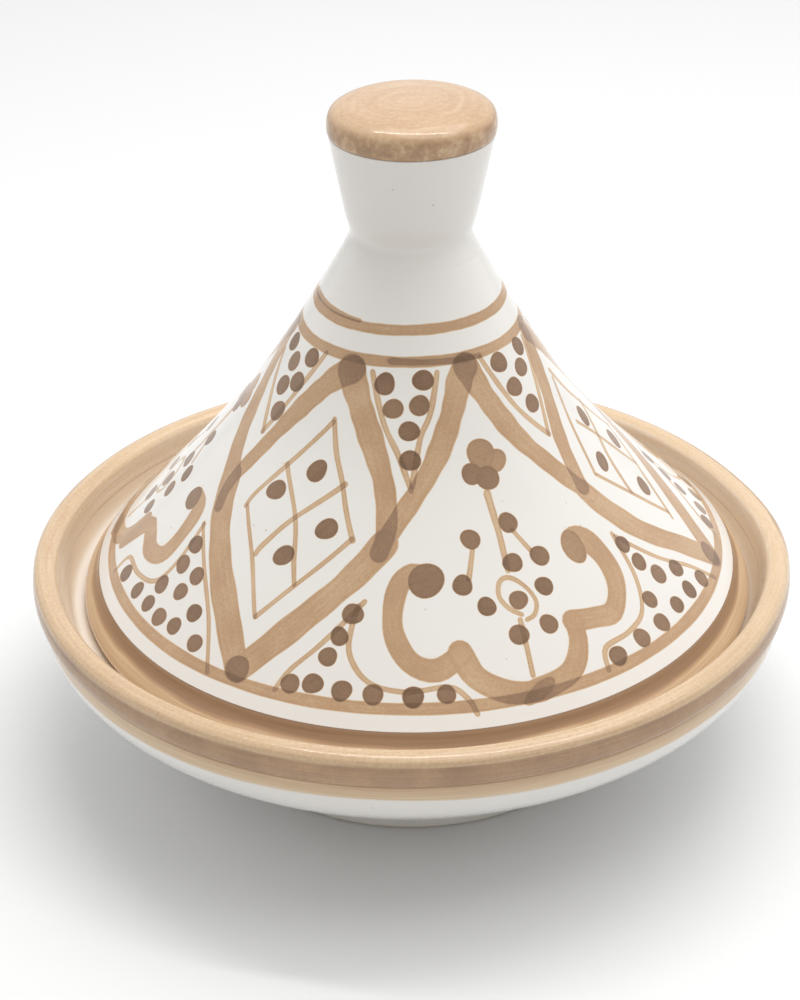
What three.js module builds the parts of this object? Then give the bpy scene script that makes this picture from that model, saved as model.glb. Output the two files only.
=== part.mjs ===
// Tagine: a shallow glazed serving dish on a turned foot ring, and a conical lid
// with a hollow hourglass handle. Millimetres, +Z up, origin under the centre of
// the foot ring. Every piece is thrown on the wheel, so each is a turned outline.
import * as THREE from "three";

// Driving sizes
const rimRadius = 130;
const rimHeight = 72.6;
const footRadius = 71.2;
const footWidth = 8;
const footHeight = 7.2;
const dishThickness = 7;
const seatRadius = 116.6;
const seatHeight = 55.6;
const lipRadius = 115;
const lipTop = 67.4;
const hemRadius = 109.2;
const hemHeight = 67.7;
const creaseRadius = 20.2;
const creaseHeight = 184;
const coneThickness = 5.6;
const neckTopRadius = 26.4;
const neckTopHeight = 219.4;
const neckThickness = 5;
const potHeight = 230;
const joint = 0.3;
const facets = 60;

const white = 0xf1ede8;
const tan = 0xc79e73;

function at(radius, height) {
  return new THREE.Vector2(radius, height);
}

// A solid of revolution from an outline that runs up the outside and comes
// back down the inside, or that starts and ends on the axis.
function turned(name, outline, color) {
  const onAxis = outline[0].x === 0;
  const points = onAxis ? outline : [...outline, outline[0].clone()];
  const geometry = new THREE.LatheGeometry(points, facets);
  geometry.rotateX(Math.PI / 2);
  const material = new THREE.MeshStandardMaterial({ color, roughness: 0.25 });
  const mesh = new THREE.Mesh(geometry, material);
  mesh.name = name;
  return mesh;
}

// A smooth curve through a few points of a thrown wall.
function thrownCurve(points, steps) {
  return new THREE.SplineCurve(points).getPoints(steps);
}

// The same curve moved inwards by the thickness of the clay.
function insideOf(curve, thickness) {
  return curve.map((point, i) => {
    const before = curve[Math.max(i - 1, 0)];
    const after = curve[Math.min(i + 1, curve.length - 1)];
    const along = after.clone().sub(before).normalize();
    return at(point.x - along.y * thickness, point.y + along.x * thickness);
  });
}

// Foot ring: a plain ring luted under the dish, with eased edges.
function footRing() {
  const inner = footRadius - footWidth;
  return turned("foot_ring", [
    at(footRadius - 1, 0),
    at(footRadius, 1),
    at(footRadius + 1.4, footHeight),
    at(inner - 0.6, footHeight),
    at(inner, 1),
    at(inner + 1, 0),
  ], white);
}

// Dish: a flat floor, a wall that opens out and steepens towards the rim, and
// a narrow level seat inside it for the lid.
function dish() {
  const under = footHeight + joint;
  const floor = under + dishThickness;
  const outside = thrownCurve([
    at(73.8, under),
    at(86, 16.2),
    at(99.4, 26.4),
    at(112.4, 36.8),
    at(122, 45.2),
    at(126.6, 51.6),
    at(128.2, rimHeight - 12.1),
  ], 9);
  const inside = thrownCurve([
    at(109.6, seatHeight - 1),
    at(110.6, 50.4),
    at(109.2, 44.6),
    at(103, 37.6),
    at(90, 27.4),
    at(76.6, 18.8),
    at(64, floor),
  ], 8);
  return turned("dish", [
    at(0, under),
    ...outside,
    at(119.2, rimHeight - 12.1),
    at(117.6, seatHeight + 2.6),
    at(seatRadius, seatHeight + 0.4),
    at(seatRadius - 1, seatHeight),
    at(110.4, seatHeight),
    ...inside,
    at(0, floor),
  ], white);
}

// Rim: a thick coil folded over the top of the dish wall, upright outside and
// rounded over the top.
function rim() {
  const foot = rimHeight - 12.1 + joint;
  const side = rimRadius + 0.2;
  return turned("rim", [
    at(126.4, foot),
    at(side - 1, foot + 0.9),
    at(side, foot + 2.6),
    at(side, rimHeight - 4.3),
    at(side - 0.9, rimHeight - 1.8),
    at(side - 2.6, rimHeight - 0.4),
    at(side - 4.3, rimHeight),
    at(side - 6.4, rimHeight - 0.6),
    at(side - 8, rimHeight - 2.2),
    at(side - 8.6, rimHeight - 4.6),
    at(side - 9.3, rimHeight - 8),
    at(side - 10.6, foot),
  ], tan);
}

// Lip: the ring around the hem of the lid, a small hollow above a rounded edge,
// level underneath where it sits in the dish.
function lidLip() {
  const under = seatHeight + 0.4;
  return turned("lid_lip", [
    at(107, under),
    at(lipRadius - 2, under),
    at(lipRadius - 0.6, under + 0.6),
    at(lipRadius, under + 2),
    at(lipRadius - 0.4, under + 4),
    at(lipRadius - 1.8, under + 6),
    at(lipRadius - 3.8, under + 7.8),
    at(hemRadius + 1.2, lipTop - 2),
    at(hemRadius + 0.2, lipTop),
    at(hemRadius - 8, lipTop),
    at(105.6, under + 1),
  ], tan);
}

// Cone: the flared wall of the lid, open below and open into the neck above.
function lidCone() {
  const outside = thrownCurve([
    at(hemRadius, hemHeight),
    at(89.4, 87.4),
    at(71.1, 107),
    at(54.8, 126.7),
    at(42, 146.4),
    at(30.2, 166.2),
    at(creaseRadius, creaseHeight),
  ], 14);
  const inside = insideOf(outside, coneThickness).reverse();
  inside[0].y = creaseHeight;
  inside[inside.length - 1].set(hemRadius - 7.9, hemHeight);
  return turned("lid_cone", [...outside, ...inside], white);
}

// Neck: a hollow handle that widens upwards from the crease.
function neck() {
  const bottom = creaseHeight + joint;
  const radius = creaseRadius - 0.9;
  return turned("neck", [
    at(creaseRadius - 0.4, bottom),
    at(radius, bottom + 1.6),
    at(21.2, 193),
    at(neckTopRadius - 1.3, 213),
    at(neckTopRadius, neckTopHeight),
    at(neckTopRadius - neckThickness, neckTopHeight),
    at(21.2 - neckThickness, 193),
    at(radius - neckThickness, bottom),
  ], white);
}

// Cap: the disc that closes the neck, rounded over its edge and slightly domed.
function cap() {
  const bottom = neckTopHeight + joint;
  return turned("knob_cap", [
    at(0, bottom),
    at(neckTopRadius + 0.1, bottom),
    at(neckTopRadius + 0.4, bottom + 1.8),
    at(neckTopRadius + 0.2, bottom + 4),
    at(neckTopRadius - 0.7, potHeight - 4),
    at(neckTopRadius - 2.2, potHeight - 2.2),
    at(neckTopRadius - 4.9, potHeight - 1.2),
    at(12, potHeight - 0.3),
    at(0, potHeight),
  ], tan);
}

const group = new THREE.Group();
group.name = "tagine";
group.add(footRing(), dish(), rim(), lidLip(), lidCone(), neck(), cap());

export default group;
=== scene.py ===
import math
import random

import bpy
import numpy as np
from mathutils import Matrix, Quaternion, Vector
from mathutils.geometry import delaunay_2d_cdt


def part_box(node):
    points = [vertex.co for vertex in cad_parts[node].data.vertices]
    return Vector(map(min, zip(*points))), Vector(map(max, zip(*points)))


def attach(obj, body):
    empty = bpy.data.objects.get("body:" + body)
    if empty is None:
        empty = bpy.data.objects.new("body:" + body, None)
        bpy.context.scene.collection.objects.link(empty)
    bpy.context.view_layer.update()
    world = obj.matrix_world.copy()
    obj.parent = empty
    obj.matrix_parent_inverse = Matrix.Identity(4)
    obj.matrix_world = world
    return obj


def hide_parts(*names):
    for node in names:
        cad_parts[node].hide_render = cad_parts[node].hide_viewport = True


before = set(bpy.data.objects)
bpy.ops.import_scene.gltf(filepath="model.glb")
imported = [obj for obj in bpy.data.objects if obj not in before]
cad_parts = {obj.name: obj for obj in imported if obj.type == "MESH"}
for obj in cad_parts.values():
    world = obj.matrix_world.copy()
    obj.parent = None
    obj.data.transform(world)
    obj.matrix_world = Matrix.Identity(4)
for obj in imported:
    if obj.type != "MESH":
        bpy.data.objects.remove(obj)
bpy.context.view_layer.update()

mm = 0.001
scene = bpy.context.scene

# ---------------------------------------------------------------- the view
# The pot is seen from in front and above, about three quarters of a metre off,
# through a long lens held almost a degree out of level.
view_distance = 750.5 * mm
view_height = 86.1 * mm
view_down = math.radians(30.17)
view_turn = math.radians(-0.31)
view_tilt = math.radians(-0.89)

look = Vector((math.sin(view_turn) * math.cos(view_down),
               math.cos(view_turn) * math.cos(view_down),
               -math.sin(view_down)))
camera = bpy.data.objects.new("camera", bpy.data.cameras.new("camera"))
camera.data.lens = 78.72
camera.data.sensor_width = 36
camera.location = (0, -view_distance * math.cos(view_down),
                   view_height + view_distance * math.sin(view_down))
camera.rotation_mode = "QUATERNION"
camera.rotation_quaternion = look.to_track_quat("-Z", "Y") @ Quaternion((0, 0, 1), view_tilt)
scene.collection.objects.link(camera)
scene.camera = camera

# ------------------------------------------------------- the table and lights
# A plain pale board that runs out of sight, under a broad soft panel overhead and
# to the right, with a pale glow from the room that is brighter behind the pot.
scene.view_settings.view_transform = "Standard"

table_half = 30.0
table_mesh = bpy.data.meshes.new("table")
table_mesh.from_pydata([(-table_half, -table_half, 0), (table_half, -table_half, 0),
                        (table_half, table_half, 0), (-table_half, table_half, 0)],
                       [], [(0, 1, 2, 3)])
table = bpy.data.objects.new("table", table_mesh)
scene.collection.objects.link(table)


def hand_for(tree):
    """A hand for setting down nodes: lower-case words set the node up, plain values and
    capitalised words fill its sockets."""
    def node(kind, *values, **named):
        made = tree.nodes.new("ShaderNode" + kind)
        for word in [w for w in named if w[0].islower()]:
            setattr(made, word, named.pop(word))
        fills = [(made.inputs[i], v) for i, v in enumerate(values) if v is not None]
        fills += [(made.inputs[w.replace("_", " ")], v) for w, v in named.items()]
        for socket, value in fills:
            if isinstance(value, bpy.types.NodeSocket):
                tree.links.new(value, socket)
            else:
                socket.default_value = value
        return made.outputs

    return node


def workbench(name):
    """A fresh node material, its shader, and the hands that set down and join nodes."""
    material = bpy.data.materials.new(name)
    material.use_nodes = True
    tree = material.node_tree
    return material, tree.nodes["Principled BSDF"], hand_for(tree), tree.links.new


board, shader, node, join = workbench("pale_board")
place = node("TexCoord")["Object"]
mottle = node("TexNoise", place, Scale=2.5, Detail=3.0)["Fac"]
tone = node("Mix", data_type="RGBA", Factor=mottle, A=(0.78, 0.79, 0.80, 1),
            B=(0.81, 0.82, 0.83, 1))["Result"]
join(tone, shader.inputs["Base Color"])
shader.inputs["Roughness"].default_value = 0.6
shader.inputs["Specular IOR Level"].default_value = 0.2
table.data.materials.append(board)

glow = bpy.data.worlds.new("room_glow")
glow.use_nodes = True
node = hand_for(glow.node_tree)
sky = node("TexCoord")["Generated"]
to_back = node("MapRange", node("SeparateXYZ", sky)["Y"], -0.9, 0.6,
               interpolation_type="SMOOTHSTEP")["Result"]
walls = node("Mix", data_type="RGBA", Factor=to_back, A=(0.50, 0.485, 0.46, 1),
             B=(1.0, 1.005, 1.01, 1))["Result"]
backdrop = glow.node_tree.nodes["Background"]
glow.node_tree.links.new(walls, backdrop.inputs["Color"])
backdrop.inputs["Strength"].default_value = 0.93
scene.world = glow


def soft_panel(name, place, aim, width, depth, power, color):
    """A soft rectangular light that faces its aim."""
    light = bpy.data.lights.new(name, "AREA")
    light.shape = "RECTANGLE"
    light.size = width
    light.size_y = depth
    light.energy = power
    light.color = color
    lamp = bpy.data.objects.new(name, light)
    lamp.location = place
    lamp.rotation_euler = (Vector(aim) - Vector(place)).to_track_quat("-Z", "Y").to_euler()
    scene.collection.objects.link(lamp)


soft_panel("panel_overhead", (0.3, 0.1, 1.5), (0, 0, 0.05), 1.6, 1.2, 12.0, (1.0, 0.99, 0.97))
soft_panel("panel_core", (0.05, 0.2, 1.3), (0, 0, 0.05), 1.1, 0.07, 4, (1.0, 0.98, 0.94))

# --------------------------------------------------------------- foot ring
# A low ring of clay turned on the wheel and luted under the dish, covered in
# the same white glaze and wiped bare at its standing edge.
turns = 256


def curve_through(points, step):
    """A smooth line through given points, as points no further apart than step."""
    line = []
    for i in range(len(points) - 1):
        before, start = points[max(i - 1, 0)], points[i]
        end, after = points[i + 1], points[min(i + 2, len(points) - 1)]
        count = max(1, math.ceil(math.dist(start, end) / step))
        for k in range(count):
            t = k / count
            line.append(tuple(
                0.5 * (2 * s + (e - b) * t + (2 * b - 5 * s + 4 * e - a) * t ** 2
                       + (3 * s - b - 3 * e + a) * t ** 3)
                for b, s, e, a in zip(before, start, end, after)))
    line.append(tuple(points[-1]))
    return line


def out_of_true(angle, size, seed):
    """How far a hand-thrown edge strays outward at this angle."""
    return size * (0.5 * np.sin(angle + seed) + 0.3 * np.sin(2 * angle + 2.3 * seed)
                   + 0.15 * np.sin(5 * angle + 4.1 * seed) + 0.05 * np.sin(11 * angle + seed))


def thrown(name, outline, closed, stray=0.12, aside=None, settle=None):
    """Turns an outline of (radius, height) in mm into a smooth skin of rings, moved
    to the side by as much as aside gives for each height; settle gives the height a
    point has sunk to, from its height and its place."""
    rings, corners, faces = [], [], []
    for radius, height in outline:
        on_axis = radius < 1e-6
        moved = aside(height) if aside else 0.0
        ring = []
        for k in range(1 if on_axis else turns):
            angle = 2 * math.pi * k / turns
            r = radius + (0 if on_axis else out_of_true(angle, stray, 1 + radius * 0.013))
            x = r * math.cos(angle) + moved
            y = r * math.sin(angle)
            sunk = settle(height, x, y) if settle else height
            ring.append(len(corners))
            corners.append((x * mm, y * mm, sunk * mm))
        rings.append(ring)
    pairs = list(zip(rings, rings[1:]))
    if closed:
        pairs.append((rings[-1], rings[0]))
    for low, high in pairs:
        for k in range(turns):
            j = (k + 1) % turns
            face = [low[k % len(low)], low[j % len(low)],
                    high[j % len(high)], high[k % len(high)]]
            faces.append(list(dict.fromkeys(face)))
    mesh = bpy.data.meshes.new(name)
    mesh.from_pydata(corners, [], faces)
    mesh.polygons.foreach_set("use_smooth", [True] * len(faces))
    piece = bpy.data.objects.new(name, mesh)
    scene.collection.objects.link(piece)
    return piece


# How the tan pigment tints the white, from none to most_coats of it lying on each
# other: each tint with the share of the coats at which it is reached.
most_coats = 4
no_pigment = (1, 1, 1, 1)
full_pigment = (0.20, 0.12, 0.07, 1)
pigment_tints = ((0.12, (0.85, 0.66, 0.45, 1)), (0.25, (0.62, 0.41, 0.25, 1)),
                 (0.38, (0.47, 0.305, 0.19, 1)), (0.50, (0.37, 0.235, 0.15, 1)),
                 (0.75, (0.28, 0.175, 0.11, 1)))
pinhole_brown = (0.33, 0.25, 0.19, 1)


def white_glaze(name, warmth=0.0):
    """Glossy tin-white glaze with faint clouding, an uneven skin and rare pinholes.
    Gives the hand for more nodes, the place on the pot and a last step that takes
    the depth of pigment washed over the white."""
    material, shader, node, join = workbench(name)
    place = node("TexCoord")["Object"]
    cloud = node("TexNoise", place, Scale=16.0, Detail=4.0, Roughness=0.55)["Fac"]
    white = node("Mix", data_type="RGBA", Factor=cloud,
                 A=(0.80, 0.775 - warmth * 0.4, 0.74 - warmth, 1),
                 B=(0.84, 0.825, 0.805, 1))["Result"]
    cells = node("TexVoronoi", place, Scale=240.0)
    pick = node("SeparateColor", cells["Color"])["Red"]
    rare = node("Math", pick, 0.96, operation="GREATER_THAN")["Value"]
    near = node("MapRange", cells["Distance"], 0.0, 0.13, 1.0, 0.0)["Result"]
    pit = node("Math", rare, near, operation="MULTIPLY")["Value"]
    peel = node("TexNoise", place, Scale=380.0, Detail=2.0)["Fac"]
    swell = node("TexNoise", place, Scale=45.0, Detail=2.0)["Fac"]
    relief = node("Math", peel, 0.07, swell, operation="MULTIPLY_ADD")["Value"]
    relief = node("Math", pit, -0.4, relief, operation="MULTIPLY_ADD")["Value"]
    gloss = node("MapRange", peel, 0.3, 0.7, 0.09, 0.17)["Result"]
    join(gloss, shader.inputs["Roughness"])
    shader.inputs["Specular IOR Level"].default_value = 0.5

    def last_step(depth=None, ridges=None):
        """Joins up the skin and the colour, under pigment of this depth if any."""
        height = relief
        if ridges is not None:
            height = node("Math", relief, ridges, operation="ADD")["Value"]
        normal = node("Bump", Strength=0.35, Distance=0.0004, Height=height)["Normal"]
        join(normal, shader.inputs["Normal"])
        color = white
        if depth is not None:
            share = node("Math", depth, 1 / most_coats, operation="MULTIPLY")["Value"]
            tints = node("ValToRGB", share)["Color"]
            stops = material.node_tree.nodes[-1].color_ramp.elements
            stops[0].position, stops[0].color = 0, no_pigment
            stops[1].position, stops[1].color = 1, full_pigment
            for position, tint in pigment_tints:
                stops.new(position).color = tint
            color = node("Mix", data_type="RGBA", blend_type="MULTIPLY", Factor=1.0,
                         A=white, B=tints)["Result"]
        share = node("Math", pit, 0.6, operation="MULTIPLY")["Value"]
        color = node("Mix", data_type="RGBA", Factor=share, A=color, B=pinhole_brown)["Result"]
        join(color, shader.inputs["Base Color"])

    return material, node, place, last_step


foot_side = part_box("foot_ring")[1].x / mm
foot_outline = curve_through([
    (foot_side - 9.0, 1.6), (foot_side - 8.4, 0.3), (foot_side - 6.9, 0), (foot_side - 3.8, 0),
    (foot_side - 2.0, 0.35), (foot_side - 1.4, 1.6), (foot_side - 0.8, 4),
    (foot_side, 7.4), (foot_side + 1.2, 8.9), (foot_side - 6, 10.5),
    (foot_side - 10.4, 8.2), (foot_side - 9.6, 5)], 0.6)
foot = thrown("turned_foot", foot_outline, True)
foot_glaze, node, place, last_step = white_glaze("foot_glaze", 0.03)
height = node("SeparateXYZ", place)["Z"]
grain = node("TexNoise", place, Scale=90.0, Detail=4.0)["Fac"]
wiped = node("MapRange", height, 1.8 * mm, 0.4 * mm, 0.0, 0.3)["Result"]
last_step(node("Math", wiped, grain, operation="MULTIPLY")["Value"])
foot.data.materials.append(foot_glaze)
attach(foot, "base")
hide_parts("foot_ring")

# -------------------------------------------------------------------- dish
# Thrown bowl with a flat floor and a wall that steepens to the rim; a narrow
# level seat is pressed in to carry the lid. White glaze inside and out, with
# the tail of the rim's wash trailed round just under it.
dish_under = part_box("dish")[0].z / mm
dish_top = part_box("dish")[1].z / mm
floor_height = 14.4
seat_height = 55.6
dish_outside = curve_through([
    (73.8, dish_under), (79, 10.7), (86, 16.2), (99.4, 26.4), (112.4, 36.8), (122.0, 45.2),
    (126.6, 51.6), (127.9, 56.5), (128.4, dish_top + 1.0)], 1.5)
dish_seat = curve_through([
    (120.5, dish_top + 2.0), (120.0, 61.0), (119.1, 58.8), (117.9, 56.9), (116.7, seat_height + 0.3),
    (115.2, seat_height)], 0.5)
dish_inside = curve_through([
    (110.4, seat_height), (109.6, 54.6), (110.4, 50.4), (109.2, 44.6), (103, 37.6), (90, 27.4),
    (76.6, 18.8), (64, 15.0), (52, 14.6), (30, floor_height)], 1.5)


def low_behind(height, x, y):
    """Above its seat the dish was left about a quarter lower at the back, and a little
    more on the right."""
    t = min(max((y + 40) / 100, 0.0), 1.0)
    share = (0.25 + 0.0008 * x) * t * t * (3 - 2 * t)
    return height - max(height - seat_height, 0.0) * share


under_foot = dish_under + 0.6
dish = thrown("thrown_dish", [(0, under_foot), (60, under_foot)] + dish_outside + dish_seat
              + dish_inside + [(0, floor_height)], False, settle=low_behind)
dish_glaze, node, place, last_step = white_glaze("dish_glaze", 0.01)


def round_the_pot(node, place):
    """Distance from the pot's axis and height, for anything banded on the wheel."""
    flat = node("VectorMath", place, (1, 1, 0), operation="MULTIPLY")["Vector"]
    return (node("VectorMath", flat, operation="LENGTH")["Value"],
            node("SeparateXYZ", place)["Z"])


def brushed_round(node, place, fine, along):
    """Brush streaks that run round the pot: close together across, long along."""
    radius, height = round_the_pot(node, place)
    parts = node("SeparateXYZ", place)
    r = node("Math", radius, fine, operation="MULTIPLY")["Value"]
    z = node("Math", height, fine, operation="MULTIPLY")["Value"]
    x = node("Math", parts["X"], along, operation="MULTIPLY")["Value"]
    y = node("Math", parts["Y"], along, operation="MULTIPLY")["Value"]
    across = node("CombineXYZ", r, z, x)["Vector"]
    return node("TexNoise", across, y, Scale=1.0, Detail=4.0, Roughness=0.6,
                noise_dimensions="4D")["Fac"]


# The wash under the rim starts at a wavering edge and deepens upward.
wash_edge = 57.5
radius, height = round_the_pot(node, place)
streaks = brushed_round(node, place, 1200.0, 25.0)
waver = node("TexNoise", place, Scale=12.0, Detail=2.0)["Fac"]
level = node("Math", waver, 4 * mm, height, operation="MULTIPLY_ADD")["Value"]
wash_low = node("MapRange", level, wash_edge * mm, (wash_edge + 0.9) * mm, 0.0, 1.0)["Result"]
upward = node("MapRange", level, wash_edge * mm, (wash_edge + 5.5) * mm, 0.75, 1.35)["Result"]
outside = node("MapRange", radius, 122.5 * mm, 123.5 * mm, 0.0, 1.0)["Result"]
strength = node("MapRange", streaks, 0.3, 0.7, 0.40, 0.70)["Result"]
strength = node("Math", strength, upward, operation="MULTIPLY")["Value"]
wash = node("Math", wash_low, outside, operation="MULTIPLY")["Value"]
wash = node("Math", wash, strength, operation="MULTIPLY")["Value"]
# Inside, from the seat up, a thin cream film of the same pigment.
cream_film = 0.36
inner = node("MapRange", radius, 122.2 * mm, 121.5 * mm, 0.0, 1.0)["Result"]
high = node("MapRange", height, 53.5 * mm, 57.5 * mm, 0.0, cream_film)["Result"]
cream = node("Math", inner, high, operation="MULTIPLY")["Value"]
last_step(node("Math", wash, cream, operation="ADD")["Value"])
dish.data.materials.append(dish_glaze)
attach(dish, "base")
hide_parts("dish")

# --------------------------------------------------------------------- rim
# A thick coil folded over the top of the wall, upright outside and rounded
# over, brushed with tan while the pot turned on the banding wheel.
rim_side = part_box("rim")[1].x / mm
rim_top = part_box("rim")[1].z / mm
rim_outline = curve_through([
    (120.1, 60.7), (121.5, 60.2), (124.5, 60.4), (127.4, 61.0), (rim_side - 1.3, 61.9),
    (rim_side - 0.45, 63.1), (rim_side, 65.2), (rim_side - 0.15, 67.7), (rim_side - 0.5, 68.8),
    (rim_side - 0.35, 69.6), (rim_side - 1.0, 71.2), (127.8, 72.2), (126.7, 72.4),
    (125.7, rim_top), (124.9, 72.4), (123.7, 72.1), (122.3, 70.7), (121.6, 68.4),
    (121.0, 65.0), (120.25, 62.0)], 0.7)
rim = thrown("rolled_rim", rim_outline, True, stray=0.15, settle=low_behind)
rim_glaze, node, place, last_step = white_glaze("rim_glaze")
radius, height = round_the_pot(node, place)
# The tan: streaked and speckled.
streaks = brushed_round(node, place, 1500.0, 22.0)
depth = node("MapRange", streaks, 0.3, 0.7, 0.52, 0.90)["Result"]
specks = node("TexNoise", place, Scale=900.0, Detail=3.0)["Fac"]
specks = node("MapRange", specks, 0.3, 0.7, 0.86, 1.14)["Result"]
depth = node("Math", depth, specks, operation="MULTIPLY")["Value"]
# Paler on the inner face: the pigment lies thinner there, and painted light stands in for the top light
# falling on that face.
thin_and_lit_inside = node("MapRange", radius, 121.4 * mm, 124.0 * mm, 0.55, 1.0)["Result"]
depth = node("Math", depth, thin_and_lit_inside, operation="MULTIPLY")["Value"]
# Paler toward the right and back: painted light, for the light that falls more strongly on that side.
way_round = node("VectorMath", place, (0.6, 0.8, 0), operation="DOT_PRODUCT")["Value"]
painted_light_right_back = node("MapRange", way_round, -0.05, 0.08, 1.0, 0.78)["Result"]
depth = node("Math", depth, painted_light_right_back, operation="MULTIPLY")["Value"]
# Darker on the upright outer face: the tan ran and pooled there, with painted shade for that face
# turning away from the light.
pooled_and_shaded = node("TexNoise", place, Scale=60.0, Detail=3.0)["Fac"]
waver = node("TexNoise", place, Scale=20.0, Detail=2.0)["Fac"]
level = node("Math", waver, 1.2 * mm, height, operation="MULTIPLY_ADD")["Value"]
side = node("MapRange", level, 70.6 * mm, 70.0 * mm, 0.0, 0.85)["Result"]
outside = node("MapRange", radius, 127.5 * mm, 128.0 * mm, 0.0, 1.0)["Result"]
side = node("Math", side, outside, operation="MULTIPLY")["Value"]
side = node("Math", side, pooled_and_shaded, operation="MULTIPLY")["Value"]
depth = node("Math", side, 1.6, depth, operation="MULTIPLY_ADD")["Value"]
# Inside it stops at a wavering edge, lower at the back, over the dish's cream film.
inner_edge = 67.4
edge = node("Math", waver, 3.4 * mm, height, operation="MULTIPLY_ADD")["Value"]
lower = node("MapRange", node("SeparateXYZ", place)["Y"], -10 * mm, 60 * mm, 0.0, 7.5 * mm)["Result"]
edge = node("Math", edge, lower, operation="ADD")["Value"]
drawn_in = node("MapRange", edge, inner_edge * mm, (inner_edge + 1.4) * mm, 0.0, 1.0)["Result"]
inside = node("MapRange", radius, 122.6 * mm, 122.2 * mm, 0.0, 1.0)["Result"]
bare = node("Math", 1.0, drawn_in, operation="SUBTRACT")["Value"]
bare = node("Math", bare, inside, operation="MULTIPLY")["Value"]
kept = node("Math", 1.0, bare, operation="SUBTRACT")["Value"]
depth = node("Math", depth, kept, operation="MULTIPLY")["Value"]
depth = node("Math", bare, cream_film, depth, operation="MULTIPLY_ADD")["Value"]
ripple = node("TexNoise", place, Scale=330.0, Detail=2.0)["Fac"]
ridges = node("Math", streaks, 0.6, ripple, operation="MULTIPLY_ADD")["Value"]
last_step(depth, node("Math", ridges, 0.6, operation="MULTIPLY")["Value"])
rim.data.materials.append(rim_glaze)
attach(rim, "base")
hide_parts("rim")

# ------------------------------------------------------- the lid's cone, outside
# The lid is thrown upside down as one flaring cone and leans a little from true.
# Its raw white glaze is painted by hand with a loaded brush: hoops at top and
# bottom, broad lozenges and pointed arches between them, then fine lines and
# dots. Where strokes cross, the pigment lies double and fires darker.
lid_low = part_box("lid_cone")[0].z / mm
lid_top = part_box("lid_cone")[1].z / mm
lid_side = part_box("lid_cone")[1].x / mm
cone_outline = curve_through([
    (lid_side, lid_low), (89.4, 87.4), (71.1, 107.0), (54.8, 126.7), (42.0, 146.4),
    (30.2, 166.2), (20.2, lid_top)], 0.4)
cone_radius = np.array([radius for radius, height in cone_outline])
cone_height = np.array([height for radius, height in cone_outline])
cone_step = np.hypot(np.diff(cone_radius), np.diff(cone_height))
mid_radius = (cone_radius[1:] + cone_radius[:-1]) / 2


def lid_aside(height):
    """How far the lid stands to the right of the dish's axis at each height, in mm: it
    is set down a little to one side, bends back above the hem and leans to the top."""
    return np.interp(height, (56, 68, 80, 95, 112, 130, 184, 230),
                     (1.9, 1.6, 0.9, 0.1, -0.4, -0.1, 1.3, 2.1))


# The cone is laid out flat to paint it: across by angle, up by slope over radius,
# so that a small circle on the pot is a small circle on the flat, chart_radius
# over the cone's own radius times as large.
chart_radius = 70.0
chart_up = np.concatenate([[0.0], np.cumsum(cone_step / mid_radius)]) * chart_radius
full_turn = 2 * math.pi * chart_radius
seam = math.radians(90) * chart_radius
round_again = (-full_turn, 0.0, full_turn)
paint_lean = math.tan(math.radians(0.86))


def on_chart(points):
    """Moves listed (degrees round, height in mm) points to the flat chart. Degrees are
    counted about a straight leaning axis, not about the bend of the lid itself."""
    points = np.array(points, float)
    turn, height = np.radians(points[:, 0]), points[:, 1]
    gap = (paint_lean * (height - lid_low) - lid_aside(height)) / np.interp(
        height, cone_height, cone_radius)
    bent = np.arctan2(np.sin(turn), np.cos(turn) + gap)
    bent += 2 * math.pi * np.round((turn - bent) / (2 * math.pi))
    return np.column_stack([bent * chart_radius, np.interp(height, cone_height, chart_up)])


def chart_scale(up):
    """Millimetres on the pot for each unit of the chart at this height of it."""
    return np.interp(up, chart_up, cone_radius) / chart_radius


# Every mark on the lid, in the order in which it is painted.
marks = []
hand = random.Random(11)


def note(line, half, depth, soft, body, loops, pull, dot=None):
    """Writes down one mark: its middle line or its dot, its outlines and its pigment."""
    marks.append(dict(line=line, half=half, depth=depth, soft=soft, body=body, loops=loops,
                      pull=pull or len(marks), dot=dot, seed=hand.uniform(0, 40)))


def brush(points, half, depth=1.0, soft=0.45, step=1.6, uneven=0.05, taper=None,
          body=(1.06, 0.97), pull=None):
    """One stroke of a round brush along a smooth line, of half width in mm. Strokes
    of one pull run wet into each other, so that they don't lie double."""
    line = np.array(curve_through([tuple(p) for p in on_chart(points)], step))
    along = np.concatenate([[0], np.cumsum(np.hypot(*np.diff(line, axis=0).T))])
    phase = hand.uniform(0, 6)
    width = half * (1 + uneven * (np.sin(along * 0.19 + phase) + 0.6 * np.sin(along * 0.53 + phase)))
    if taper is not None:
        width = width * np.interp(along / along[-1], [0, 1], taper)
    scale = chart_scale(line[:, 1])
    way = np.gradient(line, axis=0)
    way /= np.maximum(np.hypot(*way.T), 1e-9)[:, None]
    side = np.column_stack([-way[:, 1], way[:, 0]])
    loops = []
    for inset in (0.0, soft, min(soft + 1.1, half * 0.8)):
        reach = np.maximum(width - inset, 0.08) / scale
        turn = np.linspace(0, math.pi, max(4, int(half * 2.2)))[1:-1]
        front = [line[-1] + reach[-1] * (math.cos(a) * side[-1] + math.sin(a) * way[-1]) for a in turn]
        back = [line[0] - reach[0] * (math.cos(a) * side[0] + math.sin(a) * way[0]) for a in turn]
        loops.append(np.concatenate([line + side * reach[:, None], front,
                                     (line - side * reach[:, None])[::-1], back]))
    note(line, width, depth, soft, body, loops, pull)


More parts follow.
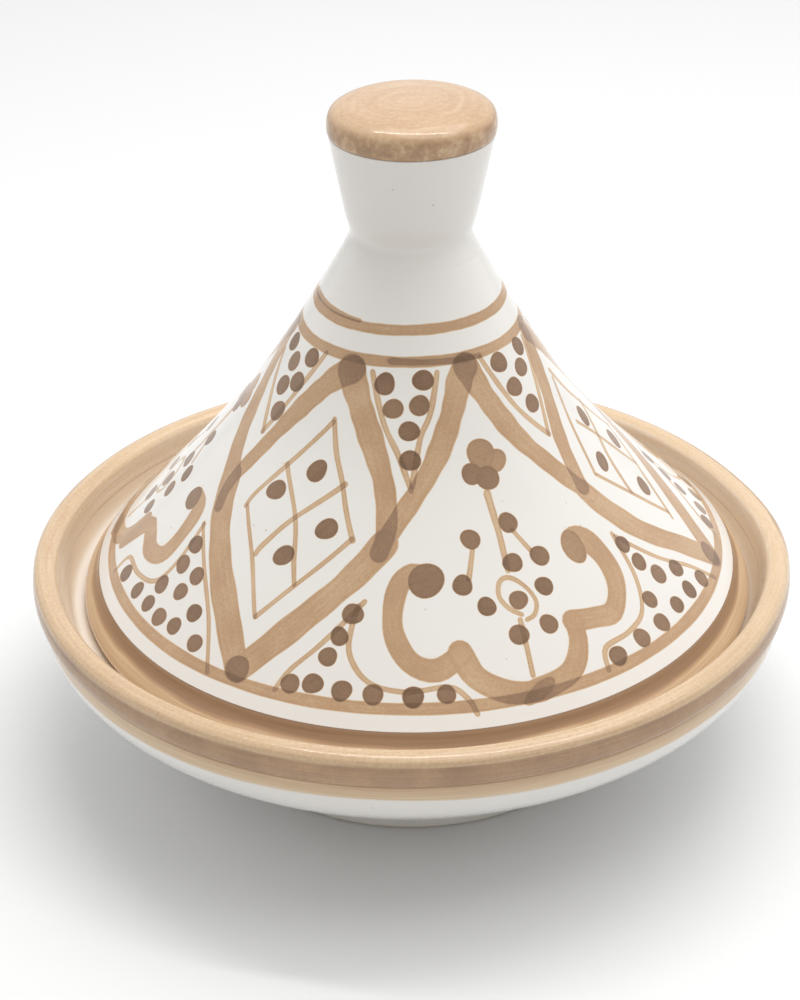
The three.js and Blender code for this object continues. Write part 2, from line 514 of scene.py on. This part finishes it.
def dot(where, width=6.8, tall=None, depth=None, soft=0.4, body=(1.12, 0.97), pull=None,
        tilt=None):
    """One press of the brush tip: a round blot, never quite a circle."""
    centre = on_chart([where])[0]
    depth = depth or hand.uniform(2.25, 3.0)
    wide, tall = width / 2, (tall or width * hand.uniform(0.95, 1.03)) / 2
    turn = np.linspace(0, 2 * math.pi, 25)[:-1]
    phase, lump = hand.uniform(0, 6), hand.uniform(0.02, 0.05)
    tilt = hand.uniform(-0.6, 0.6) if tilt is None else tilt
    scale = chart_scale(centre[1])
    shape = dict(centre=centre, wide=wide, tall=tall, phase=phase, lump=lump, tilt=tilt,
                 scale=float(scale))
    loops = []
    for inset in (0.0, soft, soft + 1.0):
        swell = 1 + lump * np.sin(2 * turn + phase) + lump * 0.7 * np.sin(3 * turn + 2 * phase)
        x = (wide * swell - inset) * np.cos(turn)
        y = (tall * swell - inset) * np.sin(turn)
        if (min(wide, tall) - inset) < 0.5:
            continue
        loops.append(centre + np.column_stack([x * math.cos(tilt) - y * math.sin(tilt),
                                               x * math.sin(tilt) + y * math.cos(tilt)]) / scale)
    note(centre[None], None, depth, soft, body, loops, pull, shape)


def sector(points, old, new, stray=0.5):
    """The same motif painted again in another sector, a little differently."""
    drift = [hand.uniform(-stray, stray) for _ in range(4)]
    moved = []
    for angle, height in points:
        moved.append((np.interp(angle, old, new) + drift[0] + drift[1] * math.sin(height * 0.07),
                      height + drift[2] * 0.6 + drift[3] * 0.4 * math.sin(angle * 0.1)))
    return moved


def again_in(new, first):
    """A hand that repeats the first sector's motifs in a new one."""
    return (lambda line: line) if new is first else (lambda line: sector(line, first, new))


# Hoops, drawn while the lid turned on the wheel: two near the top, one at the hem.
def hoop(height, half, swing, **how):
    """A line brushed right round the lid, rising and falling by swing in mm."""
    brush([(a, height + swing * math.sin(math.radians(a + 40))
            + 0.2 * math.sin(math.radians(a * 3))) for a in range(-290, 111, 10)],
          half, step=4.0, uneven=0.03, **how)


hoop(165.5, 1.9, 0.45)
brush([(-178, 166.6), (-160, 166.8), (-145, 166.6), (-123, 166.4)], 1.3, 0.9, taper=(1, 0.7))
hoop(156.4, 1.95, -0.15)
brush([(-101, 156.9), (-85, 156.6), (-68, 156.1), (-54, 155.6)], 1.6, 0.9, taper=(0.8, 0.7))
hoop(72.6, 2.15, 0.15)

# Three lozenges stand round the lid with three pointed arches between them. Each is
# placed by the degrees of its left, middle and right, with the pot's front at -90.
lozenge_1 = (-151.5, -121.5, -97.5)
lozenge_2 = (-33.5, -9.5, 16.0)
lozenge_3 = (80.0, 113.0, 146.0)
arch_1 = (-97.5, -66.0, -33.5)
arch_2 = (16.0, 48.0, 80.0)
arch_3 = (146.0, 178.0, 208.5)

# Broad strokes of the first lozenge, then the upper ones of the other two.
upper_left = [(-119.5, 153.4), (-128.3, 149), (-137.2, 140.7), (-145, 129.6),
              (-150.6, 116.8), (-151.4, 110.5), (-149.8, 106)]
lower_left = [(-152.8, 113.5), (-147.2, 105), (-138.3, 95), (-130.5, 86), (-123, 75.2)]
upper_right = [(-120.5, 153.4), (-111.9, 144), (-104.3, 134), (-99.0, 124), (-97.2, 113.5),
               (-98.6, 107.6)]
lower_right = [(-97.4, 110), (-103.9, 101.8), (-112.8, 90.7), (-119.4, 80.7), (-122.6, 75)]
brush(upper_left, 4.3, taper=(1.05, 0.6))
brush(upper_right, 4.8, taper=(1, 0.66))
brush([(-9.4, 152.2), (-15, 147.3), (-22.8, 136.2), (-30.6, 124), (-33.9, 111.8)], 4.1,
      taper=(1, 0.8))
brush(sector(upper_right, lozenge_1, lozenge_2), 4.7, taper=(1, 0.7))
brush(sector(upper_left, lozenge_1, lozenge_3), 4.3, taper=(1.05, 0.6))
brush(sector(upper_right, lozenge_1, lozenge_3), 4.7, taper=(1, 0.7))

# Legs of the pointed arches. Each runs on, in the same pull, into the lower stroke of
# the lozenge beside it.
left_leg = [(-98, 109.5), (-92.8, 117.3), (-82.8, 129.6), (-75, 140.7), (-68.3, 150.2), (-63.7, 154)]
right_leg = [(-63.2, 154), (-57.2, 144), (-49.4, 131.8), (-41.7, 121.8), (-34.9, 112),
             (-33.0, 109.2)]
low_2 = [(-34.2, 111), (-31.2, 104.5), (-25, 94), (-17.2, 84), (-11.3, 74.6)]
for number, (lower, half, leg, leg_half, taper) in enumerate((
        (lower_left, 4.9, [(178, 154), (185, 141.8), (196.1, 125), (207.2, 113)], 4.2, (1, 1)),
        (lower_right, 4.4, left_leg, 4.1, (0.75, 1.1)),
        (low_2, 4.4, right_leg, 4.2, (1.05, 0.8)),
        (sector(lower_right, lozenge_1, lozenge_2), 4.4, sector(left_leg, arch_1, arch_2), 4.1,
         (0.75, 1.1)),
        (sector(lower_left, lozenge_1, lozenge_3), 4.7, sector(right_leg, arch_1, arch_2), 4.2,
         (1.05, 0.9)),
        (sector(lower_right, lozenge_1, lozenge_3), 4.4, sector(left_leg, arch_1, arch_3), 4.1,
         (0.75, 1.1)))):
    brush(leg, leg_half, taper=taper, pull="vee %d" % (number // 2))
    brush(lower, half, pull="vee %d" % (number // 2))
for angle in (-122.9, -11.0, 112.6):
    dot((angle, 75.2), 8.6, 9.4, 1.35)

# The lobed arch inside each pointed one, in four pulls of the brush.
lobe_left = [(-88.2, 102.4), (-90.2, 102.9), (-92.8, 101), (-94.2, 96.2), (-93.9, 89.4),
             (-90.6, 83), (-85.6, 81), (-80.6, 84.4)]
foot_left = [(-80.9, 84.6), (-78.6, 78.8), (-73.3, 74.6), (-67.5, 73.4)]
foot_right = [(-68.3, 73.6), (-61.2, 75.6), (-57.6, 80.5), (-56.5, 85.6)]
lobe_right = [(-56.7, 85.9), (-51.7, 84.7), (-47, 84), (-42.8, 88.4), (-41.4, 94.1),
              (-42.9, 100.2), (-46.2, 102.8), (-48.2, 101.0)]
for new in (arch_1, arch_2, arch_3):
    again = again_in(new, arch_1)
    pull = "lobes %d" % new[0]
    brush(again(lobe_left), 3.5, taper=(1.0, 1.05), pull=pull)
    brush(again(foot_left), 3.9, pull=pull)
    brush(again(foot_right), 3.7, pull=pull)
    if new is arch_3:
        brush([(186.1, 77.3), (189.4, 86.4), (193.3, 86.4), (198.3, 84.8), (203.3, 87.3),
               (204.4, 95.1), (203.3, 101.8), (199.5, 102.8)], 3.6, pull=pull)
        dot((198.5, 102), 9.0, 8.6, 2.2, pull=pull)
    else:
        brush(again(lobe_right), 3.6, taper=(1, 1.2), pull=pull)
        dot(again([(-47.9, 101.2)])[0], 9.0, 11.8, 1.6, pull=pull)
    dot(again([(-86.9, 101.4)])[0], 11.8, 11.2, 2.3, pull=pull)

# Bud, stem, loop and links in the middle of each arch. A fine line is one tip of
# the brush, its pigment pushed out to both edges.
fine = dict(depth=0.8, soft=0.3, body=(1.15, 0.6), step=1.2)
stem_top = [(-67, 120), (-66.7, 110.7), (-67.2, 101)]
stem_foot = [(-67.6, 89.6), (-67.9, 83), (-68.3, 77.0)]
loop = [(-66.9, 90.6), (-69.2, 92.5), (-70.8, 95.6), (-70.0, 98.8), (-67.9, 99.6),
        (-65.6, 98.2), (-63.6, 95.4), (-62.9, 92.4), (-64.2, 89.9), (-66.2, 89.2)]
link_left = [(-74.8, 107.3), (-76.9, 100.8)]
link_right = [(-62.8, 110.1), (-59.8, 104.2)]
bud = [(-65.7, 130.2), (-61.2, 127.6), (-70.4, 125.6), (-65.4, 123.8)]
arch_dots = [(-74.8, 110), (-63.3, 112), (-65.4, 102.6), (-57.9, 102.3), (-78.6, 99.6),
             (-74, 94), (-66.7, 94), (-59.8, 95.4), (-68.7, 86.4), (-61.9, 87)]
for new in (arch_1, arch_2, arch_3):
    again = again_in(new, arch_1)
    brush(again(stem_top), 1.2, **fine, taper=(1.25, 0.8))
    brush(again(stem_foot), 0.95, **fine)
    brush(again(loop), 0.9, **fine)
    brush(again(link_left), 1.0, **fine)
    brush(again(link_right), 0.95, **fine)
    top, right, left, low = again(bud)
    pull = "bud %d" % new[0]
    dot(top, 9.8, 10.4, 1.4, pull=pull)
    dot(right, 8.6, 7.8, 1.35, pull=pull)
    dot(left, 7.4, 7.2, 2.1, pull=pull)
    dot(low, 8.0, 8.2, 2.2, pull=pull)
    for where in again(arch_dots):
        dot(where, hand.uniform(6.5, 7.1))
    dot(again([(-67.8, 73.4)])[0], 13.0, 5.4, 0.8)

# Fine lines and dots that fill each lozenge.
pane = [(-121.7, 138.4), (-132.8, 125), (-139.4, 115), (-140.8, 110.1)]
pane_low_left = [(-140.2, 110.4), (-130.6, 99.6), (-123.7, 87.3)]
pane_low_right = [(-123.6, 87.6), (-117.2, 97.3), (-106.1, 110.4)]
pane_right = [(-105.8, 110), (-109.4, 117), (-112.8, 124), (-117.4, 131), (-121.6, 139.2)]
cross_down = [(-133.9, 124), (-123.9, 112.9), (-119.4, 101.8), (-117.6, 97.3)]
cross_up = [(-111.4, 123.3), (-123.9, 112.3), (-129.4, 104), (-130.4, 101.0)]
pane_dots = [(-122.2, 125), (-133.4, 117.1), (-113.6, 111.8), (-122.8, 103.1)]
for new in (lozenge_1, lozenge_2, lozenge_3):
    again = again_in(new, lozenge_1)
    if new is lozenge_2:
        brush([(-10.6, 137), (-19.4, 125.1), (-25.6, 111.6)], 0.9, **fine)
        brush([(-25, 111), (-17.2, 100.7), (-10.4, 89.4)], 0.9, **fine)
        brush([(-15, 123.6), (-8.3, 115.1), (-2, 101)], 0.9, **fine)
    else:
        brush(again(pane), 0.95, **fine)
        brush(again(pane_low_left), 0.9, **fine)
        brush(again(cross_down), 0.95, **fine)
    brush(again(pane_low_right), 0.9, **fine)
    brush(again(pane_right), 1.0, **fine)
    brush(again(cross_up), 1.0, **fine)
    for where in (again(pane_dots) if new is not lozenge_2 else
                  [(-7.8, 122.1), (-18.2, 111.9), (-9.7, 98.1), (-0.4, 109.4)]):
        dot(where, hand.uniform(7.8, 8.4), hand.uniform(6.4, 6.9), tilt=0.85)

# The hanging triangles between the peaks: a fine V with six dots in it.
hang_1 = (-121.5, -97.5, -66.0)
hangings = [
    ([(-109.4, 153.6), (-101.7, 140.7), (-95, 131.8), (-90.4, 122.8)],
     [(-78.3, 153.6), (-82.8, 142.9), (-87.2, 136.2), (-90.2, 124)],
     [(-102.8, 150.7), (-85.2, 151.8), (-98.1, 144.2), (-87.2, 145.1), (-91.4, 138.3), (-90.9, 130.6)]),
    ([(-171.7, 147.3), (-159.4, 136.2), (-151.6, 127.6)],
     [(-137.2, 155.2), (-146.1, 139.6), (-151.9, 127.5)],
     [(-165.8, 151.8), (-156.3, 148.2), (-145.2, 152.1), (-147.2, 144.3), (-155.2, 141),
      (-150.1, 134.6)]),
    ([(-54.4, 155), (-45, 139.6), (-34.6, 127.5)],
     [(-17.2, 153.2), (-27.2, 139.6), (-34.6, 127.9)],
     [(-44.2, 151.8), (-25.6, 152.4), (-31.3, 147.3), (-40.9, 143.8), (-35.1, 137.2)])]
gaps_behind = ((-9.5, 16.0, 48.0), (48.0, 80.0, 113.0), (113.0, 146.0, 178.0))
for new in gaps_behind:
    hangings.append(tuple(sector(part, hang_1, new) for part in hangings[0]))
for left, right, spots in hangings:
    brush(left, 1.05, **fine)
    brush(right, 1.05, **fine)
    for where in spots:
        dot(where, hand.uniform(6.7, 7.2))

# The standing triangles along the hem: a straight and a curled fine line and a
# heap of dots, with a row of them running out over the hem.
stand_1 = (-121.5, -97.5, -66.0)
standings = [
    ([(-100.6, 96.2), (-108.3, 85.1), (-112.8, 78.4), (-114.6, 73.2)],
     [(-101.8, 95), (-102.6, 90), (-102.2, 84), (-98.3, 78.4), (-91.7, 76.4), (-83.8, 77.2),
      (-80.6, 74.4), (-79.3, 70.8)],
     [(-102.8, 93.1), (-104.8, 87.7), (-106.3, 82.8), (-112.1, 75.4), (-108, 76.4), (-102.6, 75.8),
      (-97, 75.6), (-90, 75.3), (-84.2, 75.7)]),
    ([(-151, 100.2), (-141.7, 91.8), (-133.9, 82.9), (-128.3, 71.8)],
     [(-150.6, 100.1), (-150.6, 89.6), (-152.8, 81.8), (-159.4, 79), (-166.7, 78.4), (-167.4, 72.9)],
     [(-148.8, 95.1), (-148.6, 89.5), (-142.7, 89.5), (-144.3, 84.2), (-137.8, 82.1), (-150.5, 82.3),
      (-163.2, 76), (-155.9, 76.6), (-150.4, 76.8), (-145.4, 76.4), (-140.6, 77), (-133.9, 76.3)]),
    ([(-34.4, 97.6), (-27.2, 87.3), (-20.6, 79.6), (-16.7, 72.3)],
     [(-34.8, 98.6), (-36.6, 88), (-40.6, 80.7), (-46.1, 78.4), (-52.6, 77.6), (-54.1, 72.9)],
     [(-33.9, 95.1), (-33, 89.6), (-30.4, 84.4), (-37.1, 81.6), (-24.6, 82), (-51, 74.9),
      (-44.3, 75.8), (-38.1, 76), (-31.8, 76.6), (-26, 76.6), (-20.4, 75.4)])]
for new in gaps_behind:
    standings.append(tuple(sector(part, stand_1, new) for part in standings[0]))
for straight, curled, spots in standings:
    brush(straight, 0.95, **fine)
    brush(curled, 1.0, **fine)
    for where in spots:
        dot(where, hand.uniform(6.3, 7.1))

# The painted skin: the chart is cut along the edges of every stroke, so that each
# keeps its own clean edge, then wrapped on the cone. Cuts stay hem_gap inside the
# chart's top and bottom, and run on past its sides by overlap.
points, edges = [], []
hem_gap = 0.05
overlap = 6


def cut(loop, closed=True):
    """Adds a line along which the skin is cut."""
    first = len(points)
    points.extend(map(tuple, loop))
    edges.extend((first + i, first + i + 1) for i in range(len(loop) - 1))
    if closed:
        edges.append((first + len(loop) - 1, first))


top_up = chart_up[-1]
for mark in marks:
    for shift in round_again:
        for ring in mark["loops"]:
            moved = ring + (shift, 0.0)
            if moved[:, 0].max() < seam - full_turn - 1 or moved[:, 0].min() > seam + 1:
                continue
            moved[:, 1] = np.clip(moved[:, 1], hem_gap, top_up - hem_gap)
            inside = (moved[:, 0] > seam - full_turn - overlap) & (moved[:, 0] < seam + overlap)
            if inside.all():
                cut(moved)
            else:
                run = []
                for point, ok in zip(np.vstack([moved, moved[:1]]), np.append(inside, inside[0])):
                    if ok:
                        run.append(tuple(point))
                        continue
                    if len(run) > 1:
                        cut(run, False)
                    run = []
                if len(run) > 1:
                    cut(run, False)

# Between the cuts, rows of points fill the chart evenly for the size of the pot.
skin_step = 2.2
fewest_round = 96
rows = []
up = 0.0
while up < top_up - 0.5:
    rows.append(up)
    up += skin_step / float(chart_scale(up))
rows[-1:] = [top_up]
for number, up in enumerate(rows):
    count = int(2 * math.pi * np.interp(up, chart_up, cone_radius) / skin_step)
    count = max(count, fewest_round)
    across = seam - full_turn + full_turn * (np.arange(count + 1)) / count
    if number in (0, len(rows) - 1):
        cut([(x, up) for x in across], False)
    else:
        shift = 0.5 * full_turn / count * (number % 2)
        points.extend((x + shift, up) for x in across[1:-1])
for x in (seam - full_turn, seam):
    cut([(x, up) for up in rows], False)

flat, _, triangles, _, _, _ = delaunay_2d_cdt([Vector(p) for p in points], edges, [], 0, 1e-4)
flat = np.array([tuple(p) for p in flat])
triangles = np.array([t for t in triangles if len(t) == 3])
middle = flat[triangles].mean(axis=1)
keep = ((middle[:, 0] > seam - full_turn) & (middle[:, 0] < seam)
        & (middle[:, 1] > 0) & (middle[:, 1] < top_up))
triangles = triangles[keep]
used = np.unique(triangles)
renumber = np.full(len(flat), -1)
renumber[used] = np.arange(len(used))
flat, triangles = flat[used], renumber[triangles]
middle = flat[triangles].mean(axis=1)


def under_stroke(mark, where, shift):
    """How far inside the stroke's edge each point lies in mm, and the way along
    and across the stroke there."""
    spot = where - (shift, 0.0)
    if mark["dot"]:
        shape = mark["dot"]
        away = (spot - shape["centre"]) * shape["scale"]
        x = away[:, 0] * math.cos(shape["tilt"]) + away[:, 1] * math.sin(shape["tilt"])
        y = -away[:, 0] * math.sin(shape["tilt"]) + away[:, 1] * math.cos(shape["tilt"])
        turn = np.arctan2(y / shape["tall"], x / shape["wide"])
        swell = (1 + shape["lump"] * np.sin(2 * turn + shape["phase"])
                 + shape["lump"] * 0.7 * np.sin(3 * turn + 2 * shape["phase"]))
        edge = np.hypot(shape["wide"] * np.cos(turn), shape["tall"] * np.sin(turn)) * swell
        return edge - np.hypot(x, y), x, y
    line, half = mark["line"], mark["half"]
    start, reach = line[:-1], np.diff(line, axis=0)
    long = (reach ** 2).sum(1)
    t = ((spot[:, None] - start) * reach).sum(2) / long
    t = np.clip(t, 0, 1)
    away = spot[:, None] - start - t[:, :, None] * reach
    distance = np.hypot(away[:, :, 0], away[:, :, 1])
    best = distance.argmin(1)
    pick = np.arange(len(spot))
    t, away = t[pick, best], away[pick, best]
    scale = chart_scale(start[best, 1] + t * reach[best, 1])
    distance = distance[pick, best] * scale
    width = half[best] * (1 - t) + half[best + 1] * t
    length = np.sqrt(long)
    along = (np.concatenate([[0], np.cumsum(length)])[best] + t * length[best]) * scale
    side = np.sign(reach[best, 0] * away[:, 1] - reach[best, 1] * away[:, 0])
    return width - distance, along, side * distance


# The depth of pigment at each corner, and the way of the top stroke on each face. Wet
# is what the pull in hand lays; it counts once, however often its strokes cross.
batch = 4000
wash, wet, last_pull = np.zeros(len(flat)), np.zeros(len(flat)), None
top_mark = np.full(len(triangles), -1)
top_shift = np.zeros(len(triangles))
for number, mark in enumerate(marks):
    if mark["pull"] != last_pull:
        wash += wet
        wet[:] = 0
        last_pull = mark["pull"]
    low = np.min([ring.min(0) for ring in mark["loops"]], axis=0) - 0.5
    high = np.max([ring.max(0) for ring in mark["loops"]], axis=0) + 0.5
    for shift in round_again:
        near = np.flatnonzero(((flat > low + (shift, 0)) & (flat < high + (shift, 0))).all(1))
        if len(near) == 0:
            continue
        for part in np.array_split(near, len(near) // batch + 1):
            inside, _, _ = under_stroke(mark, flat[part], shift)
            laid = np.interp(inside, [0, mark["soft"], mark["soft"] + 1.1], [0, *mark["body"]])
            wet[part] = np.maximum(wet[part], mark["depth"] * laid)
        near = np.flatnonzero(((middle > low + (shift, 0)) & (middle < high + (shift, 0))).all(1))
        if len(near) == 0:
            continue
        for part in np.array_split(near, len(near) // batch + 1):
            inside, _, _ = under_stroke(mark, middle[part], shift)
            covered = part[inside > 0]
            top_mark[covered], top_shift[covered] = number, shift

wash += wet

flow = np.zeros((len(triangles) * 3, 3), np.float32)
for number in np.unique(top_mark[top_mark >= 0]):
    for shift in round_again:
        chosen = np.flatnonzero((top_mark == number) & (top_shift == shift))
        if len(chosen) == 0:
            continue
        corner = (chosen[:, None] * 3 + np.arange(3)).ravel()
        for part in np.array_split(corner, len(corner) // batch + 1):
            _, along, across = under_stroke(marks[number], flat[triangles.ravel()[part]], shift)
            flow[part] = np.column_stack([along, across, np.full(len(part), marks[number]["seed"])])


def on_the_cone(flat):
    """Wraps chart points on the leaning, slightly uneven cone, in metres."""
    angle = flat[:, 0] / chart_radius
    height = np.interp(flat[:, 1], chart_up, cone_height)
    fade = np.clip((height - lid_low) / 8, 0, 1) * np.clip((lid_top - height) / 8, 0, 1)
    radius = np.interp(flat[:, 1], chart_up, cone_radius) + fade * (
        out_of_true(angle, 0.22, 1.7) + out_of_true(angle + height * 0.03, 0.1, 4.2))
    return np.column_stack([radius * np.cos(angle) + lid_aside(height),
                            radius * np.sin(angle), height]) * mm


tiny = 0.3
across_way = on_the_cone(flat + (tiny, 0)) - on_the_cone(flat - (tiny, 0))
up_way = (on_the_cone(np.column_stack([flat[:, 0], np.minimum(flat[:, 1] + 1, top_up)]))
          - on_the_cone(np.column_stack([flat[:, 0], np.maximum(flat[:, 1] - 1, 0)])))
outward = np.cross(across_way, up_way)
outward /= np.linalg.norm(outward, axis=1)[:, None]

skin_mesh = bpy.data.meshes.new("painted_cone")
skin_mesh.from_pydata(on_the_cone(flat).tolist(), [], triangles.tolist())
skin_mesh.attributes.new("wash", "FLOAT", "POINT").data.foreach_set("value", wash.astype(np.float32))
skin_mesh.attributes.new("flow", "FLOAT_VECTOR", "CORNER").data.foreach_set("vector", flow.ravel())
skin_mesh.polygons.foreach_set("use_smooth", [True] * len(skin_mesh.polygons))
skin_mesh.normals_split_custom_set_from_vertices(outward.tolist())
cone_skin = bpy.data.objects.new("painted_cone", skin_mesh)
scene.collection.objects.link(cone_skin)

cone_glaze, node, place, last_step = white_glaze("painted_glaze")
laid = node("Attribute", attribute_name="wash")["Fac"]
run = node("Attribute", attribute_name="flow")["Vector"]
drag = node("VectorMath", run, (0.06, 1.1, 1.0), operation="MULTIPLY")["Vector"]
hairs = node("TexNoise", drag, Scale=1.0, Detail=3.0, Roughness=0.55)["Fac"]
load = node("TexNoise", place, Scale=70.0, Detail=3.0)["Fac"]
grain = node("TexNoise", place, Scale=1400.0, Detail=2.0)["Fac"]
thin = node("MapRange", hairs, 0.3, 0.7, 0.93, 1.07)["Result"]
pool = node("MapRange", load, 0.3, 0.7, 0.87, 1.13)["Result"]
sand = node("MapRange", grain, 0.3, 0.7, 0.91, 1.09)["Result"]
depth = node("Math", laid, thin, operation="MULTIPLY")["Value"]
depth = node("Math", depth, pool, operation="MULTIPLY")["Value"]
last_step(node("Math", depth, sand, operation="MULTIPLY")["Value"])
skin_mesh.materials.append(cone_glaze)
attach(cone_skin, "lid")
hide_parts("lid_cone")

# ------------------------------------------------------- the lid's cone, inside
# The clay wall behind the painted face, of one piece with it, as thick as the
# potter left it and glazed plain white inside over the ridges of their fingers.
wall_thick = 5.6


def set_back(outline, depth):
    """The outline moved into the wall by depth, along its own slope."""
    line = np.array(outline)
    way = np.gradient(line, axis=0)
    way /= np.hypot(*way.T)[:, None]
    back = line + np.column_stack([-way[:, 1], way[:, 0]]) * depth
    return [tuple(p) for p in back]


wall_rows = cone_outline[::4] + [cone_outline[-1]]
inner = [(r + 0.12 * math.sin(h * 0.9), h) for r, h in set_back(wall_rows, wall_thick)]
inner[0] = (inner[0][0] - 0.4, lid_low + 0.1)
inside_wall = thrown("lid_wall", set_back(wall_rows, 0.7)[1:] + inner[::-1], True,
                     stray=0.1, aside=lid_aside)
wall_glaze, node, place, last_step = white_glaze("lid_wall_glaze", 0.02)
last_step()
inside_wall.data.materials.append(wall_glaze)
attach(inside_wall, "lid")
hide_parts("lid_cone")

# ------------------------------------------------------------------- lid lip
# The edge of the lid, rolled out of the same clay to sit on the dish's seat. Its
# tan is brushed on as the lid turns; in the crease under the hem it pooled darker, with painted shade
# for the hollow.
lip_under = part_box("lid_lip")[0].z / mm
lip_outline = curve_through([
    (106.2, lip_under + 0.2), (109, lip_under), (113, lip_under), (114.4, lip_under + 0.6),
    (115, 58.2), (114.6, 60.1), (113.2, 62.1), (111.4, 63.9), (110.3, 65.5), (109.7, 66.8),
    (108.9, 67.8), (107.2, 68.6), (105.4, 69.2)], 0.5)
lip_outline += [(101.4, 68.8), (101.4, 67.4), (103.4, 62.2)]
lip = thrown("lid_lip_roll", lip_outline, True, stray=0.05, aside=lid_aside)
lip_glaze, node, place, last_step = white_glaze("lip_glaze")
radius, height = round_the_pot(node, place)
streaks = brushed_round(node, place, 1500.0, 25.0)
depth = node("MapRange", streaks, 0.3, 0.7, 0.46, 0.84)["Result"]
waver = node("TexNoise", place, Scale=22.0, Detail=2.0)["Fac"]
level = node("Math", waver, 3 * mm, height, operation="MULTIPLY_ADD")["Value"]
# Darker above the crease line: pooled tan, and painted shade in the hollow under the hem.
crease_pool_and_shade = node("MapRange", level, 64.4 * mm, 65.6 * mm, 0.0, 1.0)["Result"]
depth = node("Math", depth, crease_pool_and_shade, operation="ADD")["Value"]
outside = node("MapRange", radius, 106.5 * mm, 107.5 * mm, 0.0, 1.0)["Result"]
last_step(node("Math", depth, outside, operation="MULTIPLY")["Value"])
lip.data.materials.append(lip_glaze)
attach(lip, "lid")
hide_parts("lid_lip")

# ---------------------------------------------------------------------- neck
# The hollow neck that serves as the handle, pulled up from the lid's waist in the
# same clay and flared to meet the cap. Plain white glaze.
neck_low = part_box("neck")[0].z / mm
neck_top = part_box("neck")[1].z / mm
neck_outline = curve_through([
    (22.6, neck_low - 5.4), (21.98, neck_low - 3.4), (20.75, neck_low - 1.0),
    (19.95, neck_low + 0.9), (19.7, 187.0), (20.15, 189.4), (21.3, 193.6), (23.1, 202.5),
    (25.1, 213.0), (26.35, neck_top - 0.2)], 0.6)
neck_outline += [(26.2, neck_top), (21.4, neck_top), (18.6, 206), (16.2, 193.0), (14.6, neck_low)]
neck = thrown("flared_neck", neck_outline, True, stray=0.12, aside=lid_aside)
neck_glaze, node, place, last_step = white_glaze("neck_glaze", 0.01)
last_step()
neck.data.materials.append(neck_glaze)
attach(neck, "lid")
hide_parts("neck")

# ----------------------------------------------------------------------- cap
# A flat button of clay closes the neck. Its tan was put on with a full brush in
# a spiral from the middle, and ran darker round the side.
cap_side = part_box("knob_cap")[1].x / mm
cap_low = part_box("knob_cap")[0].z / mm
cap_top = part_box("knob_cap")[1].z / mm
cap_outline = [(0, cap_low + 0.4)] + curve_through([
    (25.2, cap_low + 0.1), (26.35, cap_low - 0.1), (26.75, cap_low + 1.0), (cap_side, 222.6),
    (26.6, 224.4), (26.0, 226.0), (24.8, 227.2), (23.0, 228.1), (20.4, 228.8), (12.0, 229.6),
    (4, cap_top - 0.1)], 0.5) + [(0, cap_top)]
cap = thrown("button_cap", cap_outline, False, stray=0.12, aside=lid_aside)
cap_glaze, node, place, last_step = white_glaze("cap_glaze")
centred = node("VectorMath", place, (-lid_aside(cap_top) * mm, 0, 0), operation="ADD")["Vector"]
radius, height = round_the_pot(node, centred)
bend = node("TexNoise", centred, Scale=35.0, Detail=2.0)["Color"]
bend = node("VectorMath", bend, (-0.5, -0.5, -0.5), operation="ADD")["Vector"]
bend_size = (13 * mm, 13 * mm, 0)
swirl = node("VectorMath", bend, bend_size, centred, operation="MULTIPLY_ADD")["Vector"]
streaks = brushed_round(node, swirl, 420.0, 55.0)
cloudy = node("TexNoise", place, Scale=190.0, Detail=5.0, Roughness=0.65)["Fac"]
specks = node("TexNoise", place, Scale=700.0, Detail=3.0)["Fac"]
specks = node("MapRange", specks, 0.3, 0.7, 0.91, 1.09)["Result"]
depth = node("MapRange", streaks, 0.3, 0.7, 0.78, 1.04)["Result"]
depth = node("Math", depth, specks, operation="MULTIPLY")["Value"]
mottle = node("MapRange", cloudy, 0.38, 0.66, -0.2, 0.75)["Result"]
side = node("MapRange", height, 226.2 * mm, 224.5 * mm, 0.0, 1.0)["Result"]
depth = node("Math", side, mottle, depth, operation="MULTIPLY_ADD")["Value"]
last_step(depth, node("Math", streaks, 0.15, operation="MULTIPLY")["Value"])
cap.data.materials.append(cap_glaze)
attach(cap, "lid")
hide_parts("knob_cap")
